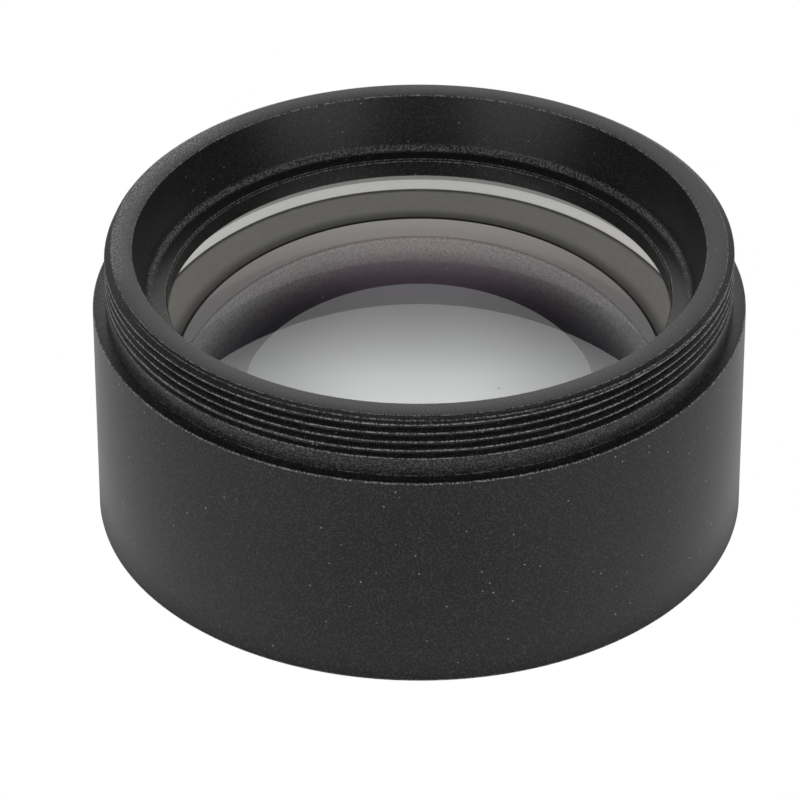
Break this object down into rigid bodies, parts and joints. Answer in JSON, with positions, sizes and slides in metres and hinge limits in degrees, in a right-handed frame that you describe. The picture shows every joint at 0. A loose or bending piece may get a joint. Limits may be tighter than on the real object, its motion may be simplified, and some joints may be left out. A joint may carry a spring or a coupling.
{
  "type": "screw-in telescope eyepiece lens cell",
  "caption": "Low black barrel with a male filter thread and recessed rim, holding a thick cemented glass pair seated by a loose ring and a threaded retaining ring.",
  "frame": {"origin": "middle of the barrel's base, on the optical axis", "axes": "+Z along the optical axis, from the base towards the threaded spigot; X and Y across it, alike in every direction apart from the thread start and the two spanner slots, which lie along X"},
  "size_m": [0.05, 0.05, 0.023],
  "materials": {
    "black_anodised": "fine blasted, black anodised, semi-matt",
    "lens_glass": "polished, with a faint violet coating; edges and rear bevel finely ground",
    "plain_ring": "fine turned, bare",
    "retaining_black": "turned, black anodised, semi-matt"
  },
  "bodies": {
    "barrel": {"barrel": "black_anodised", "upper_element": "lens_glass", "lower_element": "lens_glass"},
    "pressure_ring": {"pressure_ring": "plain_ring"},
    "retaining_ring": {"retaining_ring": "retaining_black"}
  },
  "joints": [
    {"name": "pressure_ring_slide", "type": "slide", "parent": "barrel", "child": "pressure_ring", "axis": [0, 0, -1], "range_m": [0, 0.00226]},
    {"name": "retaining_ring_turn", "type": "hinge", "parent": "pressure_ring", "child": "retaining_ring", "pos_m": [0, 0, 0.0014], "axis": [0, 0, -1], "range_deg": [0, 1080]}
  ],
  "couplings": [
    {"joint": "pressure_ring_slide", "follows": "retaining_ring_turn", "m_per_rad": 0.00011937}
  ]
}
